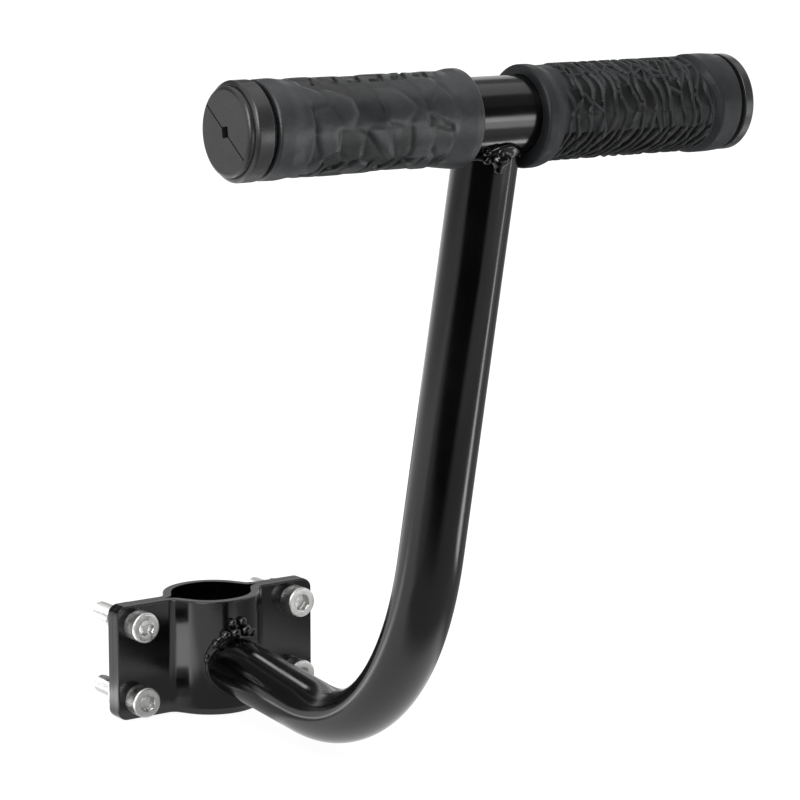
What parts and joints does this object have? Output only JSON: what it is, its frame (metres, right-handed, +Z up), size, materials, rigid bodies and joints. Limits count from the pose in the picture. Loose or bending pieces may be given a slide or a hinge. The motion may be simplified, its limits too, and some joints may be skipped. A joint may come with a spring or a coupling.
{
  "type": "clamp-on T handle",
  "caption": "T handle on a bent tube arm: a split saddle clamp with socket head screws closes on a round post, and a cross-bar carries two ribbed rubber grips.",
  "frame": {"origin": "on the axis of the post that the clamp holds, at mid-height of the clamp", "axes": "+Z up along the post, +X along the cross-bar and the clamp's flanges, -Y the way the arm leaves the clamp"},
  "size_m": [0.1748, 0.1896, 0.2205],
  "materials": {
    "black_paint": "gloss",
    "zinc_screw": "bright zinc plate",
    "zinc_nut": "bright zinc plate",
    "grip_rubber": "satin",
    "plug_rubber": "satin"
  },
  "bodies": {
    "handle": {"front_saddle": "black_paint", "arm_tube": "black_paint", "arm_weld_bead": "black_paint", "cross_tube": "black_paint", "bar_weld_bead": "black_paint", "left_grip": "grip_rubber", "right_grip": "grip_rubber", "left_end_plug": "plug_rubber", "right_end_plug": "plug_rubber"},
    "rear_saddle": {"rear_saddle": "black_paint"},
    "screw_upper_left": {"screw_upper_left": "zinc_screw"},
    "screw_lower_left": {"screw_lower_left": "zinc_screw"},
    "screw_upper_right": {"screw_upper_right": "zinc_screw"},
    "screw_lower_right": {"screw_lower_right": "zinc_screw"},
    "nut_upper_left": {"nut_upper_left": "zinc_nut"},
    "nut_lower_left": {"nut_lower_left": "zinc_nut"},
    "nut_upper_right": {"nut_upper_right": "zinc_nut"},
    "nut_lower_right": {"nut_lower_right": "zinc_nut"}
  },
  "joints": [
    {"name": "rear_saddle_open", "type": "slide", "parent": "handle", "child": "rear_saddle", "axis": [0, 1, 0], "range_m": [0, 0.012]},
    {"name": "screw_upper_left_turn", "type": "hinge", "parent": "handle", "child": "screw_upper_left", "pos_m": [-0.03, 0, 0.0125], "axis": [0, 1, 0], "continuous": true},
    {"name": "screw_lower_left_turn", "type": "hinge", "parent": "handle", "child": "screw_lower_left", "pos_m": [-0.03, 0, -0.0125], "axis": [0, 1, 0], "continuous": true},
    {"name": "screw_upper_right_turn", "type": "hinge", "parent": "handle", "child": "screw_upper_right", "pos_m": [0.03, 0, 0.0125], "axis": [0, 1, 0], "continuous": true},
    {"name": "screw_lower_right_turn", "type": "hinge", "parent": "handle", "child": "screw_lower_right", "pos_m": [0.03, 0, -0.0125], "axis": [0, 1, 0], "continuous": true},
    {"name": "nut_upper_left_turn", "type": "hinge", "parent": "rear_saddle", "child": "nut_upper_left", "pos_m": [-0.03, 0, 0.0125], "axis": [0, 1, 0], "range_deg": [0, 4320]},
    {"name": "nut_lower_left_turn", "type": "hinge", "parent": "rear_saddle", "child": "nut_lower_left", "pos_m": [-0.03, 0, -0.0125], "axis": [0, 1, 0], "range_deg": [0, 4320]},
    {"name": "nut_upper_right_turn", "type": "hinge", "parent": "rear_saddle", "child": "nut_upper_right", "pos_m": [0.03, 0, 0.0125], "axis": [0, 1, 0], "range_deg": [0, 4320]},
    {"name": "nut_lower_right_turn", "type": "hinge", "parent": "rear_saddle", "child": "nut_lower_right", "pos_m": [0.03, 0, -0.0125], "axis": [0, 1, 0], "range_deg": [0, 4320]}
  ],
  "couplings": [
    {"joint": "nut_upper_left_turn", "follows": "rear_saddle_open", "rad_per_m": 6283.2},
    {"joint": "nut_lower_left_turn", "follows": "rear_saddle_open", "rad_per_m": 6283.2},
    {"joint": "nut_upper_right_turn", "follows": "rear_saddle_open", "rad_per_m": 6283.2},
    {"joint": "nut_lower_right_turn", "follows": "rear_saddle_open", "rad_per_m": 6283.2}
  ]
}
